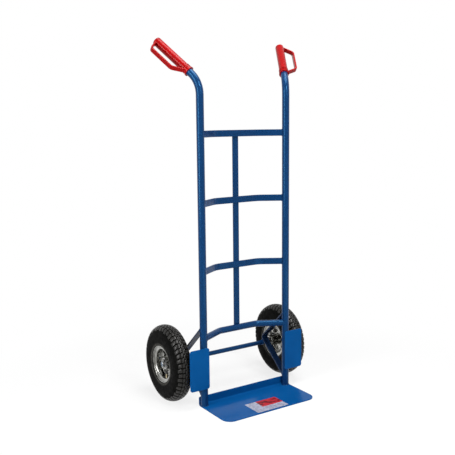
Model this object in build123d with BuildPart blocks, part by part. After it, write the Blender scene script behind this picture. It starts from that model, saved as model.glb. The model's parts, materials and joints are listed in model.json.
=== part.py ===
from build123d import *

import os
from math import asin, atan2, cos, radians, sin, sqrt, tan

# Hand truck with a tubular steel frame, a folded toe plate, two pneumatic wheels and
# two knuckle-guard grips.
# X runs across the truck, -Y is the front with the toe plate, +Y the back with the
# wheels and handles, and Z is up. The origin is on the floor, midway between the two
# uprights. Left and right are as seen from the front. All sizes are in millimetres.

os.makedirs("parts", exist_ok=True)

# ---- Driving dimensions -------------------------------------------------------------

# Uprights and handles
upright_spacing = 338.0
upright_diameter = 25.0
upright_wall = 2.0
bend_start_height = 1021.0
handle_bend_radius = 87.0
handle_bend_angle = 50.0
handle_splay_angle = 29.5

# Rolled edges of the flat bars and the edges of the sheet parts
bar_edge_radius = 0.8
sheet_edge_radius = 0.8

# Cross bars: flat bars bowed to the back, welded between the uprights
bar_height = 22.0
bar_thickness = 5.0
bar_bow = 51.5
bar_flat_length = 174.0
bar_bend_radius = 60.0
top_bar_height = 898.0
upper_bar_height = 676.0
middle_bar_height = 454.0

# Lower cross tube, bent to the same bow
lower_tube_diameter = 22.0
lower_tube_wall = 2.0
lower_tube_height = 232.0
lower_tube_bow = 49.0
lower_tube_flat_length = 152.0
lower_tube_bend_radius = 40.0

# Centre strap behind the cross bars
strap_width = 22.0
strap_thickness = 5.0
strap_top_inset = 4.0

# Toe plate, folded up at the back
plate_thickness = 4.0
plate_reach = 157.0
plate_flange_height = 31.0
plate_fold_radius = 5.0
plate_corner_radius = 32.0
plate_flange_corner_radius = 5.0

# Wheel guards on the front of the uprights
guard_thickness = 3.0
guard_overhang = 61.0
guard_bottom_height = 65.0
guard_top_height = 204.0
guard_corner_radius = 8.0

# Axle and its brackets
axle_diameter = 16.0
axle_spacer_length = 5.0
bracket_width = 24.0
bracket_thickness = 5.0
bracket_foot_height = 50.0
bracket_top_height = 258.0
bracket_overrun = 18.0
bracket_bend_radius = 12.5
bracket_end_depth = 5.0

# Wheels
wheel_diameter = 260.0
wheel_guard_clearance = 5.5
tyre_width = 64.0
tyre_wall = 5.5
tyre_tread_thickness = 10.0
tyre_crown_drop = 7.0
tyre_crown_width = 43.0
tyre_bead_width = 10.0
tyre_foot_overhang = 1.0
tyre_groove_width = 3.0
tyre_groove_depth = 4.0
tyre_groove_pitch = 14.0
tyre_lug_count = 48
tyre_notch_width = 5.0
tyre_notch_depth = 4.0
tyre_notch_skew = 12.0
rim_seat_radius = 50.8
rim_flange_radius = 62.0
rim_inner_width = 44.0
rim_lip_width = 6.0
rim_thickness = 2.0
rim_fold_radius = 4.0
# The hub is set inboard: it is short on the wheel's outer side and long on the inner one
hub_outer_length = 16.0
hub_inner_length = 50.0
bearing_diameter = 35.0
bearing_width = 11.0
bearing_race_thickness = 3.0
bearing_recess = 1.0
bearing_seal_thickness = 0.8
tube_rubber_thickness = 2.0
rim_bolt_count = 4
rim_bolt_circle_radius = 34.0
rim_bolt_diameter = 8.0
rim_bolt_length = 15.0
rim_bolt_head_size = 13.0
rim_bolt_head_height = 5.3
rim_nut_height = 6.5
rim_hole_diameter = 17.0
rim_hole_circle_radius = 35.0
valve_foot_diameter = 7.0
valve_stem_diameter = 6.0
valve_tip_radius = 29.0
valve_cap_diameter = 8.5
valve_cap_length = 10.0
valve_cap_end = 1.0

# Axle fittings
spacer_diameter = 21.0
washer_diameter = 28.0
washer_thickness = 2.5
split_pin_diameter = 4.0
split_pin_eye_radius = 3.6
split_pin_leg_drop = 3.0
split_pin_leg = 12.0
split_pin_leg_angle = 55.0
axle_end_length = 7.5
axle_chamfer = 1.0

# Grips
grip_diameter = 29.5
grip_length = 157.0
grip_end_thickness = 6.0
grip_end_round = 5.0
grip_start = 6.5
# The right grip is pushed on less far than the left one, with its guard turned to the front
right_grip_gap = 4.0
right_guard_turn = 9.0
grip_flange_diameter = 34.0
grip_flange_thickness = 3.5
grip_ring_height = 1.2
grip_ring_width = 3.0
grip_ring_pitch = 7.0
knuckle_width = 15.0
knuckle_thickness = 6.0
knuckle_edge_round = 2.0
knuckle_reach = 50.0
knuckle_near_station = 37.0
knuckle_far_station = 132.0
knuckle_root_station = 4.0
knuckle_end_station = 150.0
knuckle_bend_radius = 14.0

# Fits and clearances
running_clearance = 0.05
seat_gap = 0.3
hole_clearance = 0.25

# ---- Derived places -----------------------------------------------------------------

upright_x = upright_spacing / 2
upright_radius = upright_diameter / 2
wheel_radius = wheel_diameter / 2
axle_height = wheel_radius
axle_behind = wheel_radius + wheel_guard_clearance - upright_radius
axle_radius = axle_diameter / 2
outer_bearing_face = hub_outer_length - bearing_recess
inner_bearing_face = hub_inner_length - bearing_recess
spacer_start = upright_x + bracket_width / 2
spacer_end = spacer_start + axle_spacer_length
wheel_x = spacer_end + seat_gap + inner_bearing_face
bearing_radius = bearing_diameter / 2
bearing_bore_radius = axle_radius + running_clearance
strap_front = bar_bow + bar_thickness / 2
sides = ((-1, "left"), (1, "right"))


def handle_heading(side):
    """Level direction in which the handle leans: back and outboard."""
    splay = radians(handle_splay_angle)
    return Vector(side * sin(splay), cos(splay), 0)


def upright_plane(side):
    """Plane of one bent upright: local x along its heading, local y up."""
    heading = handle_heading(side)
    return Plane((side * upright_x, 0, 0), x_dir=heading, z_dir=heading.cross(Vector(0, 0, 1)))


def grip_plane(side):
    """Plane across the mouth of the grip: local z along the handle, local x outboard."""
    heading = handle_heading(side)
    bend = radians(handle_bend_angle)
    direction = heading * sin(bend) + Vector(0, 0, cos(bend))
    bend_end = (
        Vector(side * upright_x, 0, bend_start_height)
        + heading * (handle_bend_radius * (1 - cos(bend)))
        + Vector(0, 0, handle_bend_radius * sin(bend))
    )
    outboard = Vector(side, 0, 0)
    across = outboard - direction * outboard.dot(direction)
    start = grip_start if side < 0 else grip_start + right_grip_gap
    return Plane(bend_end + direction * start, x_dir=across, z_dir=direction)


def wheel_plane(side):
    """Plane through a wheel's centre: local x outboard along the axle."""
    return Plane((side * wheel_x, axle_behind, axle_height), x_dir=(side, 0, 0), z_dir=(0, 0, 1))


def finish(piece, label):
    """Names a finished piece and writes its STEP file."""
    piece.part.label = label
    export_step(piece.part, f"parts/{label}.step")


# ---- Toe plate ----------------------------------------------------------------------

flange_front = upright_radius
flange_back = flange_front + plate_thickness
plate_half_width = upright_x + upright_radius

with BuildPart() as toe_plate:
    with BuildSketch(Plane.YZ.offset(-plate_half_width)):
        with BuildLine():
            Polyline(
                (-plate_reach, 0),
                (flange_back, 0),
                (flange_back, plate_flange_height),
                (flange_front, plate_flange_height),
                (flange_front, plate_thickness),
                (-plate_reach, plate_thickness),
                close=True,
            )
        make_face()
    extrude(amount=2 * plate_half_width)
    fold_edges = toe_plate.edges().filter_by(Axis.X)
    inner_fold = fold_edges.sort_by_distance((0, flange_front, plate_thickness))[0]
    outer_fold = fold_edges.sort_by_distance((0, flange_back, 0))[0]
    fillet(inner_fold, plate_fold_radius)
    fillet(outer_fold, plate_fold_radius + plate_thickness)
    front_corners = toe_plate.edges().filter_by(Axis.Z).group_by(Axis.Y)[0]
    fillet(front_corners, plate_corner_radius)
    flange_corners = toe_plate.edges().filter_by(Axis.Y).group_by(Axis.Z)[-1]
    fillet(flange_corners, plate_flange_corner_radius)
    # The sheared rim of the sheet, inside and outside the fold
    rim_edges = toe_plate.faces().sort_by(Axis.Z)[0].edges().group_by(Axis.Y)[0]
    rim_edges += toe_plate.edges().filter_by(Axis.X).group_by(Axis.Y)[0]
    fillet(rim_edges, sheet_edge_radius)
finish(toe_plate, "toe_plate")

# ---- Uprights -----------------------------------------------------------------------

for side, side_name in sides:
    with BuildPart() as upright:
        with BuildLine(upright_plane(side)) as run:
            Line((0, plate_thickness), (0, bend_start_height))
            bend = JernArc((0, bend_start_height), (0, 1), handle_bend_radius, -handle_bend_angle)
            handle_length = grip_start + grip_length - grip_end_thickness
            PolarLine(bend @ 1, handle_length, direction=bend % 1)
        with BuildSketch(Plane((side * upright_x, 0, plate_thickness))):
            Circle(upright_radius)
            Circle(upright_radius - upright_wall, mode=Mode.SUBTRACT)
        sweep(path=run.line)
        add(toe_plate.part, mode=Mode.SUBTRACT)
    finish(upright, f"{side_name}_upright_tube")

# ---- Cross bars ---------------------------------------------------------------------


def bowed_run(bow, flat_length, bend_radius):
    """Level line from upright to upright, bowed to the back in a trapezoid."""
    flat = flat_length / 2
    corners = ((-upright_x, 0), (-flat, bow), (flat, bow), (upright_x, 0))
    return FilletPolyline(*corners, radius=bend_radius)


def cope_to_uprights(height, length):
    """Cuts the ends of a cross member to the round of the two uprights."""
    with Locations((-upright_x, 0, height), (upright_x, 0, height)):
        Cylinder(upright_radius, length, mode=Mode.SUBTRACT)


end_rise = atan2(bar_bow, upright_x - bar_flat_length / 2)
cross_bars = (
    ("top_cross_bar", top_bar_height),
    ("upper_cross_bar", upper_bar_height),
    ("middle_cross_bar", middle_bar_height),
)
for label, height in cross_bars:
    with BuildPart() as cross_bar:
        with BuildLine(Plane.XY.offset(height)) as run:
            bowed_run(bar_bow, bar_flat_length, bar_bend_radius)
        end_direction = (cos(end_rise), sin(end_rise), 0)
        start = Plane((-upright_x, 0, height), x_dir=(0, 0, 1), z_dir=end_direction)
        with BuildSketch(start):
            RectangleRounded(bar_height, bar_thickness, bar_edge_radius)
        sweep(path=run.line)
        cope_to_uprights(height, 2 * bar_height)
    finish(cross_bar, label)

# ---- Lower cross tube ---------------------------------------------------------------

with BuildPart() as lower_cross_tube:
    with BuildLine(Plane.XY.offset(lower_tube_height)) as run:
        bowed_run(lower_tube_bow, lower_tube_flat_length, lower_tube_bend_radius)
    tube_rise = atan2(lower_tube_bow, upright_x - lower_tube_flat_length / 2)
    tube_direction = (cos(tube_rise), sin(tube_rise), 0)
    with BuildSketch(Plane((-upright_x, 0, lower_tube_height), z_dir=tube_direction)):
        Circle(lower_tube_diameter / 2)
        Circle(lower_tube_diameter / 2 - lower_tube_wall, mode=Mode.SUBTRACT)
    sweep(path=run.line)
    cope_to_uprights(lower_tube_height, 2 * lower_tube_diameter)
finish(lower_cross_tube, "lower_cross_tube")

# ---- Centre strap -------------------------------------------------------------------

strap_top = top_bar_height + bar_height / 2 - strap_top_inset

with BuildPart() as centre_strap:
    with BuildSketch(Plane.XY.offset(lower_tube_height)):
        with Locations((0, strap_front + strap_thickness / 2)):
            RectangleRounded(strap_width, strap_thickness, bar_edge_radius)
    extrude(amount=strap_top - lower_tube_height)
    # The foot is cut to the round of the lower cross tube.
    with BuildSketch(Plane.YZ.offset(-strap_width)):
        with Locations((lower_tube_bow, lower_tube_height)):
            Circle(lower_tube_diameter / 2)
    extrude(amount=2 * strap_width, mode=Mode.SUBTRACT)
finish(centre_strap, "centre_strap")

# ---- Wheel guards -------------------------------------------------------------------

guard_height = guard_top_height - guard_bottom_height
guard_width = guard_overhang + upright_radius

for side, side_name in sides:
    with BuildPart() as wheel_guard:
        with BuildSketch(Plane.XZ.offset(upright_radius)):
            middle_x = side * (upright_x + (guard_overhang - upright_radius) / 2)
            with Locations((middle_x, (guard_top_height + guard_bottom_height) / 2)):
                RectangleRounded(guard_width, guard_height, guard_corner_radius)
        extrude(amount=guard_thickness)
        guard_faces = wheel_guard.faces().filter_by(Axis.Y)
        fillet(guard_faces.edges(), sheet_edge_radius)
    finish(wheel_guard, f"{side_name}_wheel_guard")

# ---- Axle brackets ------------------------------------------------------------------

# Each bracket is one flat bar bent to a V. Its lower leg lies on the front of the
# axle, so its slope follows from the axle's place and the foot on the upright.
foot_to_axle_y = axle_behind - upright_radius
foot_to_axle_z = axle_height - bracket_foot_height
foot_to_axle = sqrt(foot_to_axle_y**2 + foot_to_axle_z**2)
leg_offset = axle_radius + bracket_thickness / 2
lower_slope = atan2(foot_to_axle_z, foot_to_axle_y) + asin(leg_offset / foot_to_axle)
lower_length = sqrt(foot_to_axle**2 - leg_offset**2) + bracket_overrun
apex_y = upright_radius + lower_length * cos(lower_slope)
apex_z = bracket_foot_height + lower_length * sin(lower_slope)
upper_slope = atan2(bracket_top_height - apex_z, apex_y - upright_radius)
end_setback = upright_radius - bracket_end_depth
bracket_foot = (bracket_end_depth, bracket_foot_height - end_setback * tan(lower_slope))
bracket_top = (bracket_end_depth, bracket_top_height + end_setback * tan(upper_slope))

for side, side_name in sides:
    with BuildPart() as axle_bracket:
        with BuildLine(Plane.YZ.offset(side * upright_x)) as run:
            FilletPolyline(bracket_foot, (apex_y, apex_z), bracket_top, radius=bracket_bend_radius)
        foot_plane = Plane(
            (side * upright_x, *bracket_foot),
            x_dir=(1, 0, 0),
            z_dir=(0, cos(lower_slope), sin(lower_slope)),
        )
        with BuildSketch(foot_plane):
            RectangleRounded(bracket_width, bracket_thickness, bar_edge_radius)
        sweep(path=run.line)
        with Locations((side * upright_x, 0, (bracket_foot_height + bracket_top_height) / 2)):
            Cylinder(upright_radius, 2 * bracket_top_height, mode=Mode.SUBTRACT)
    finish(axle_bracket, f"{side_name}_axle_bracket")

# ---- Axle and its fittings ----------------------------------------------------------

washer_start = wheel_x + outer_bearing_face + seat_gap
washer_end = washer_start + washer_thickness
pin_x = washer_end + seat_gap + split_pin_diameter / 2
axle_half = washer_end + axle_end_length

with BuildPart() as axle:
    with BuildSketch(Plane.YZ.offset(-axle_half)):
        with Locations((axle_behind, axle_height)):
            Circle(axle_radius)
    extrude(amount=2 * axle_half)
    chamfer(axle.edges().filter_by(GeomType.CIRCLE), axle_chamfer)
    pin_hole_radius = split_pin_diameter / 2 + hole_clearance
    with Locations((-pin_x, axle_behind, axle_height), (pin_x, axle_behind, axle_height)):
        Cylinder(pin_hole_radius, 2 * axle_diameter, mode=Mode.SUBTRACT)
finish(axle, "axle")

for side, side_name in sides:
    with BuildPart() as axle_spacer:
        with BuildSketch(Plane.YZ.offset(side * spacer_start)):
            with Locations((axle_behind, axle_height)):
                Circle(spacer_diameter / 2)
                Circle(axle_radius, mode=Mode.SUBTRACT)
        extrude(amount=side * (spacer_end - spacer_start))
    finish(axle_spacer, f"{side_name}_axle_spacer")

with BuildPart() as axle_washers:
    for side, side_name in sides:
        with BuildSketch(Plane.YZ.offset(side * washer_start)):
            with Locations((axle_behind, axle_height)):
                Circle(washer_diameter / 2)
                Circle(axle_radius, mode=Mode.SUBTRACT)
        extrude(amount=side * washer_thickness)
finish(axle_washers, "axle_washers")

# A split pin is a folded wire: an eye on top, a shank through the axle and two legs
# bent apart below.
pin_wire_radius = split_pin_diameter / 4
eye_height = axle_height + axle_radius + seat_gap + split_pin_eye_radius
leg_turn_height = axle_height - axle_radius - split_pin_leg_drop
leg_lean = radians(split_pin_leg_angle)

with BuildPart() as split_pins:
    for side, side_name in sides:
        with BuildSketch(Plane((side * pin_x, axle_behind, leg_turn_height))):
            Circle(split_pin_diameter / 2)
        extrude(amount=eye_height - leg_turn_height)
        with BuildSketch(Plane.YZ.offset(side * pin_x - pin_wire_radius)):
            with Locations((axle_behind, eye_height)):
                Circle(split_pin_eye_radius + pin_wire_radius)
                Circle(split_pin_eye_radius - pin_wire_radius, mode=Mode.SUBTRACT)
        extrude(amount=2 * pin_wire_radius)
        for lean in (-1, 1):
            leg_start = Vector(side * pin_x, axle_behind, leg_turn_height + pin_wire_radius)
            leg_direction = Vector(0, lean * sin(leg_lean), -cos(leg_lean))
            with BuildSketch(Plane(leg_start, z_dir=leg_direction)):
                Circle(pin_wire_radius)
            extrude(amount=split_pin_leg)
finish(split_pins, "split_pins")

# ---- Grips --------------------------------------------------------------------------

grip_radius = grip_diameter / 2
grip_bore_depth = grip_length - grip_end_thickness
strap_centre = knuckle_reach - knuckle_thickness / 2
ring_stations = (
    grip_flange_thickness + grip_ring_pitch,
    grip_flange_thickness + 2 * grip_ring_pitch,
)

for side, side_name in sides:
    mouth = grip_plane(side)
    guard_turn = 0 if side < 0 else right_guard_turn
    guard_heading = mouth.x_dir.rotate(Axis(mouth.origin, mouth.z_dir), -guard_turn)
    guard_plane = Plane(mouth.origin, x_dir=guard_heading, z_dir=mouth.z_dir)
    loop_plane = Plane(mouth.origin, x_dir=guard_plane.x_dir, z_dir=-guard_plane.y_dir)
    with BuildPart() as grip:
        # Sleeve with its closed, rounded end
        with BuildSketch(mouth):
            Circle(grip_radius)
        extrude(amount=grip_length)
        fillet(grip.edges().sort_by_distance(mouth.origin)[-1], grip_end_round)
        # Hand stop at the mouth and the two rings beside it
        with BuildSketch(mouth):
            Circle(grip_flange_diameter / 2)
        extrude(amount=grip_flange_thickness)
        for station in ring_stations:
            with BuildSketch(mouth.offset(station)):
                Circle(grip_radius + grip_ring_height)
            extrude(amount=grip_ring_width)
        # Knuckle guard
        with BuildLine(loop_plane) as run:
            FilletPolyline(
                (grip_radius / 2, knuckle_root_station + knuckle_thickness / 2),
                (strap_centre, knuckle_near_station),
                (strap_centre, knuckle_far_station),
                (grip_radius / 2, knuckle_end_station),
                radius=knuckle_bend_radius,
            )
        strap_start = Plane(run.line @ 0, x_dir=guard_plane.y_dir, z_dir=run.line % 0)
        with BuildSketch(strap_start):
            RectangleRounded(knuckle_width, knuckle_thickness, knuckle_edge_round)
        sweep(path=run.line)
        # Bore for the tube
        with BuildSketch(mouth):
            Circle(upright_radius)
        extrude(amount=grip_bore_depth, mode=Mode.SUBTRACT)
    finish(grip, f"{side_name}_grip")

# ---- Wheels -------------------------------------------------------------------------

tyre_half = tyre_width / 2
rim_half = rim_inner_width / 2
rim_lip = rim_half + rim_lip_width
bead_toe = rim_half - tyre_bead_width
crown_half = tyre_crown_width / 2
crown_edge_radius = wheel_radius - tyre_crown_drop
# The tyre's section is widest halfway between the rim seat and the tread.
section_radius = (rim_seat_radius + wheel_radius) / 2
cavity_half_width = tyre_half - tyre_wall
cavity_half_height = wheel_radius - tyre_tread_thickness - section_radius
channel_top = section_radius - cavity_half_height / 2
bolt_hole_radius = rim_bolt_diameter / 2 + hole_clearance
valve_station = rim_fold_radius + valve_foot_diameter / 2 + 2 * hole_clearance
race_radius = bearing_bore_radius + bearing_race_thickness
outer_race_radius = bearing_radius - bearing_race_thickness
outer_bearing_back = outer_bearing_face - bearing_width
inner_bearing_back = inner_bearing_face - bearing_width
seal_height = outer_race_radius - race_radius - 2 * running_clearance


def tyre_flank(side_sign):
    """Outline of one flank of the tyre, from the bead's toe to the tread's edge."""
    foot = (side_sign * (rim_lip + tyre_foot_overhang), rim_flange_radius + rim_fold_radius)
    widest = (side_sign * tyre_half, section_radius)
    tread_edge = (side_sign * crown_half, crown_edge_radius)
    FilletPolyline(
        (side_sign * bead_toe, rim_seat_radius),
        (side_sign * rim_half, rim_seat_radius),
        (side_sign * rim_half, rim_flange_radius - rim_fold_radius / 2),
        foot,
        radius=rim_fold_radius,
    )
    TangentArc(widest, foot, tangent=(0, -1))
    TangentArc(widest, tread_edge, tangent=(0, 1))


def air_section(inset, mode=Mode.ADD):
    """Section of the tyre's air space, or of the inner tube a little inside it."""
    half_width = cavity_half_width - inset
    half_height = cavity_half_height - inset
    with BuildLine() as outline:
        for side_sign in (-1, 1):
            for end_sign in (-1, 1):
                widest = (side_sign * half_width, section_radius)
                TangentArc(widest, (0, section_radius + end_sign * half_height), tangent=(0, end_sign))
    make_face(outline.edges(), mode=mode)


def lightening_holes(plane, depth):
    """Round holes through the rim's disc, halfway between the bolts."""
    with BuildSketch(plane) as row:
        with PolarLocations(rim_hole_circle_radius, rim_bolt_count):
            Circle(rim_hole_diameter / 2)
    extrude(row.sketch, amount=depth, mode=Mode.SUBTRACT)


def hex_row(plane, height):
    """Hexagonal prisms on the rim's bolt circle."""
    with BuildSketch(plane) as row:
        with PolarLocations(rim_bolt_circle_radius, rim_bolt_count, start_angle=45):
            RegularPolygon(rim_bolt_head_size / 2, 6, major_radius=False)
    extrude(row.sketch, amount=height)


def round_row(plane, radius, height, mode=Mode.ADD):
    """Round prisms on the rim's bolt circle."""
    with BuildSketch(plane) as row:
        with PolarLocations(rim_bolt_circle_radius, rim_bolt_count, start_angle=45):
            Circle(radius)
    extrude(row.sketch, amount=height, mode=mode)


def tread_notch(side_sign):
    """Cutter for one gap between two shoulder lugs, at the top of a wheel at the origin.

    Local z is the axle's line. The floor of the gap runs out of the circumferential
    groove, down over the shoulder and out of the flank.
    """
    inner_z = tyre_groove_pitch / 2
    inner_floor = wheel_radius - tyre_notch_depth
    outer_floor = crown_edge_radius - tyre_notch_depth
    fall = (inner_floor - outer_floor) / (crown_half - inner_z)
    exit_z = tyre_half + tyre_wall
    with BuildPart() as notch:
        with BuildSketch(Plane.XZ):
            with BuildLine():
                Polyline(
                    (inner_floor, side_sign * inner_z),
                    (inner_floor - fall * (exit_z - inner_z), side_sign * exit_z),
                    (wheel_diameter, side_sign * exit_z),
                    (wheel_diameter, side_sign * inner_z),
                    close=True,
                )
            make_face()
        extrude(amount=tyre_notch_width / 2, both=True)
    skew_axis = Axis((0, 0, side_sign * inner_z), (1, 0, 0))
    return notch.part.rotate(skew_axis, side_sign * tyre_notch_skew)


for side, side_name in sides:
    # Local x of this plane runs outboard along the axle, for profiles to revolve.
    hub = wheel_plane(side)
    wheel_axis = Axis(hub.origin, hub.x_dir)
    # Local z of this plane runs outboard, for outlines seen along the axle.
    face = Plane(hub.origin, x_dir=(0, 0, 1), z_dir=hub.x_dir)

    with BuildPart() as tyre:
        with BuildSketch(hub):
            with BuildLine():
                tyre_flank(-1)
                ThreePointArc(
                    (-crown_half, crown_edge_radius),
                    (0, wheel_radius),
                    (crown_half, crown_edge_radius),
                )
                tyre_flank(1)
                Line((-bead_toe, rim_seat_radius), (bead_toe, rim_seat_radius))
            make_face()
            with Locations((0, (rim_seat_radius + channel_top) / 2)):
                Rectangle(2 * bead_toe, channel_top - rim_seat_radius, mode=Mode.SUBTRACT)
            air_section(0, mode=Mode.SUBTRACT)
            for station in (-tyre_groove_pitch / 2, tyre_groove_pitch / 2):
                with Locations((station, wheel_radius)):
                    Rectangle(tyre_groove_width, 2 * tyre_groove_depth, mode=Mode.SUBTRACT)
        revolve(axis=wheel_axis)
        # Lugs are left standing between the notches, staggered from shoulder to shoulder.
        lug_angle = 360 / tyre_lug_count
        for side_sign, first_angle in ((-1, 0), (1, lug_angle / 2)):
            notch = tread_notch(side_sign)
            with Locations(face):
                with PolarLocations(0, tyre_lug_count, start_angle=first_angle):
                    add(notch, mode=Mode.SUBTRACT)
    finish(tyre, f"{side_name}_tyre")

    with BuildPart() as inner_tube:
        with BuildSketch(hub):
            air_section(seat_gap)
            air_section(seat_gap + tube_rubber_thickness, mode=Mode.SUBTRACT)
        revolve(axis=wheel_axis)
    finish(inner_tube, f"{side_name}_inner_tube")

    # The rim is two pressed dishes, back to back and bolted through their discs. Each
    # has its part of the hub drawn out of the disc, with a bearing pressed into its end.
    rim_halves = (
        (1, "outer", hub_outer_length, outer_bearing_back),
        (-1, "inner", hub_inner_length, inner_bearing_back),
    )
    for half_sign, half_name, hub_end, bearing_back in rim_halves:
        half_plane = Plane(hub.origin, x_dir=hub.x_dir * half_sign, z_dir=(0, 0, 1))
        with BuildPart() as rim_half_dish:
            with BuildSketch(half_plane):
                with BuildLine():
                    FilletPolyline(
                        (hub_end, bearing_radius),
                        (0, bearing_radius),
                        (0, rim_seat_radius),
                        (rim_half, rim_seat_radius),
                        (rim_half, rim_flange_radius),
                        (rim_lip, rim_flange_radius),
                        radius=rim_fold_radius,
                    )
                    offset(amount=rim_thickness, side=Side.RIGHT, closed=True)
                make_face()
            revolve(axis=wheel_axis)
            round_row(face.offset(-rim_lip), bolt_hole_radius, 2 * rim_lip, mode=Mode.SUBTRACT)
            lightening_holes(face.offset(-rim_lip), 2 * rim_lip)
            if half_name == "outer":
                with BuildSketch(Plane(hub.origin + hub.x_dir * valve_station, z_dir=(0, 0, -1))):
                    Circle(valve_foot_diameter / 2 + hole_clearance)
                extrude(amount=rim_flange_radius, mode=Mode.SUBTRACT)
        finish(rim_half_dish, f"{side_name}_rim_{half_name}_half")

        with BuildPart() as bearing:
            with BuildSketch(half_plane):
                middle = bearing_back + bearing_width / 2
                with Locations((middle, (bearing_bore_radius + race_radius) / 2)):
                    Rectangle(bearing_width, bearing_race_thickness)
                with Locations((middle, (outer_race_radius + bearing_radius) / 2)):
                    Rectangle(bearing_width, bearing_race_thickness)
                for edge in (-1, 1):
                    station = middle + edge * (bearing_width / 2 - bearing_seal_thickness)
                    with Locations((station, (race_radius + outer_race_radius) / 2)):
                        Rectangle(bearing_seal_thickness, seal_height)
            revolve(axis=wheel_axis)
        finish(bearing, f"{side_name}_{half_name}_bearing")

    with BuildPart() as bearing_spacer:
        with BuildSketch(face.offset(-inner_bearing_back)):
            Circle(race_radius)
            Circle(bearing_bore_radius + seat_gap, mode=Mode.SUBTRACT)
        extrude(amount=inner_bearing_back + outer_bearing_back)
    finish(bearing_spacer, f"{side_name}_bearing_spacer")

    with BuildPart() as rim_bolts:
        hex_row(face.offset(rim_thickness), rim_bolt_head_height)
        shank_end = face.offset(rim_thickness - rim_bolt_length)
        round_row(shank_end, rim_bolt_diameter / 2, rim_bolt_length)
    finish(rim_bolts, f"{side_name}_rim_bolts")

    nut_face = face.offset(-rim_thickness - rim_nut_height)
    with BuildPart() as rim_nuts:
        hex_row(nut_face, rim_nut_height)
        round_row(nut_face, rim_bolt_diameter / 2, rim_nut_height, mode=Mode.SUBTRACT)
    finish(rim_nuts, f"{side_name}_rim_nuts")

    # The valve hangs from the inner tube, through the outer rim half, into its dish.
    valve_root = section_radius - cavity_half_height
    valve_foot_end = rim_seat_radius - rim_thickness - rim_fold_radius
    valve_line = Plane(hub.origin + hub.x_dir * valve_station, z_dir=(0, 0, -1))
    with BuildPart() as valve_stem:
        with BuildSketch(valve_line.offset(valve_foot_end)):
            Circle(valve_foot_diameter / 2)
        extrude(amount=valve_root - valve_foot_end)
        with BuildSketch(valve_line.offset(valve_tip_radius)):
            Circle(valve_stem_diameter / 2)
        extrude(amount=valve_root - valve_tip_radius)
    finish(valve_stem, f"{side_name}_valve_stem")

    with BuildPart() as valve_cap:
        with BuildSketch(valve_line.offset(valve_tip_radius - valve_cap_end)):
            Circle(valve_cap_diameter / 2)
        extrude(amount=valve_cap_length)
        with BuildSketch(valve_line.offset(valve_tip_radius)):
            Circle(valve_stem_diameter / 2)
        extrude(amount=valve_cap_length, mode=Mode.SUBTRACT)
    finish(valve_cap, f"{side_name}_valve_cap")
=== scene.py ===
import json
from math import asin, atan2, cos, pi, radians, sin, sqrt, tau

import bmesh
import bpy
from mathutils import Matrix, Vector
from mathutils.bvhtree import BVHTree


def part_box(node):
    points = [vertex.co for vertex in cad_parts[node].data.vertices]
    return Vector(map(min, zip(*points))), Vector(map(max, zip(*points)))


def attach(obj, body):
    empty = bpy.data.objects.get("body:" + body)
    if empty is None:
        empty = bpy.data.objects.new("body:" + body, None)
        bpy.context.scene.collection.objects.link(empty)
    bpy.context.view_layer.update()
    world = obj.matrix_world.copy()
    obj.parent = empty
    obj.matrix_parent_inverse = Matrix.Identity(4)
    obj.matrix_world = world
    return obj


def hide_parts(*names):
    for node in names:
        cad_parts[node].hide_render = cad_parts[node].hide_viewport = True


# Looks of the hand truck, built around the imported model. Metres, in the model's own
# frame: X across, -Y to the front, Z up.

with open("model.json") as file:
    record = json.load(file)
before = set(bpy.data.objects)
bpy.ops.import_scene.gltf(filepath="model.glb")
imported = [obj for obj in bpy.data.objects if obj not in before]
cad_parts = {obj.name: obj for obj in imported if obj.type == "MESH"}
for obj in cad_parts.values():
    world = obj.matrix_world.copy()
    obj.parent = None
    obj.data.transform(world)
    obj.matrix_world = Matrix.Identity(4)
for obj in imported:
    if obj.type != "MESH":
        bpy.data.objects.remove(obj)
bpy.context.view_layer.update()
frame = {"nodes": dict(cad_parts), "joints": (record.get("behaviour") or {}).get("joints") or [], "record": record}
nodes = frame["nodes"]
mm = 0.001
sides = ((-1, "left"), (1, "right"))
axle_points = {joint["child"]: Vector(joint["pos_m"]) for joint in frame["joints"]}


# ---- Mesh helpers -------------------------------------------------------------------


def make_piece(name, points, faces, body, material, smooth=True):
    """A new mesh object that rides on a body and wears a material."""
    mesh = bpy.data.meshes.new(name)
    mesh.from_pydata(points, [], faces)
    work = bmesh.new()
    work.from_mesh(mesh)
    bmesh.ops.recalc_face_normals(work, faces=work.faces)
    work.to_mesh(mesh)
    work.free()
    if smooth:
        mesh.shade_smooth()
    mesh.materials.append(material)
    piece = bpy.data.objects.new(name, mesh)
    bpy.context.scene.collection.objects.link(piece)
    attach(piece, body)
    return piece


class Shell:
    """Collects the points and faces of one piece."""

    def __init__(self):
        self.points = []
        self.faces = []

    def ring(self, points):
        """Adds a row of points and returns their numbers."""
        start = len(self.points)
        self.points.extend(points)
        return list(range(start, len(self.points)))

    def bridge(self, first, second, closed=True):
        """Quads between two rows of the same length."""
        count = len(first)
        for i in range(count if closed else count - 1):
            j = (i + 1) % count
            self.faces.append((first[i], first[j], second[j], second[i]))


tyre_low, tyre_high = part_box("left_tyre")
tyre_radius = (tyre_high.z - tyre_low.z) / 2
tyre_half = (tyre_high.x - tyre_low.x) / 2
rim_low, rim_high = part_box("left_rim_outer_half")
flange_radius = (rim_high.z - rim_low.z) / 2
crown_drop = 7.0 * mm  # how far the crown falls from its middle to its edge
crown_half = 21.5 * mm
seat_radius = 50.8 * mm  # where the bead sits on the rim

# ---- Materials ----------------------------------------------------------------------


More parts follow.
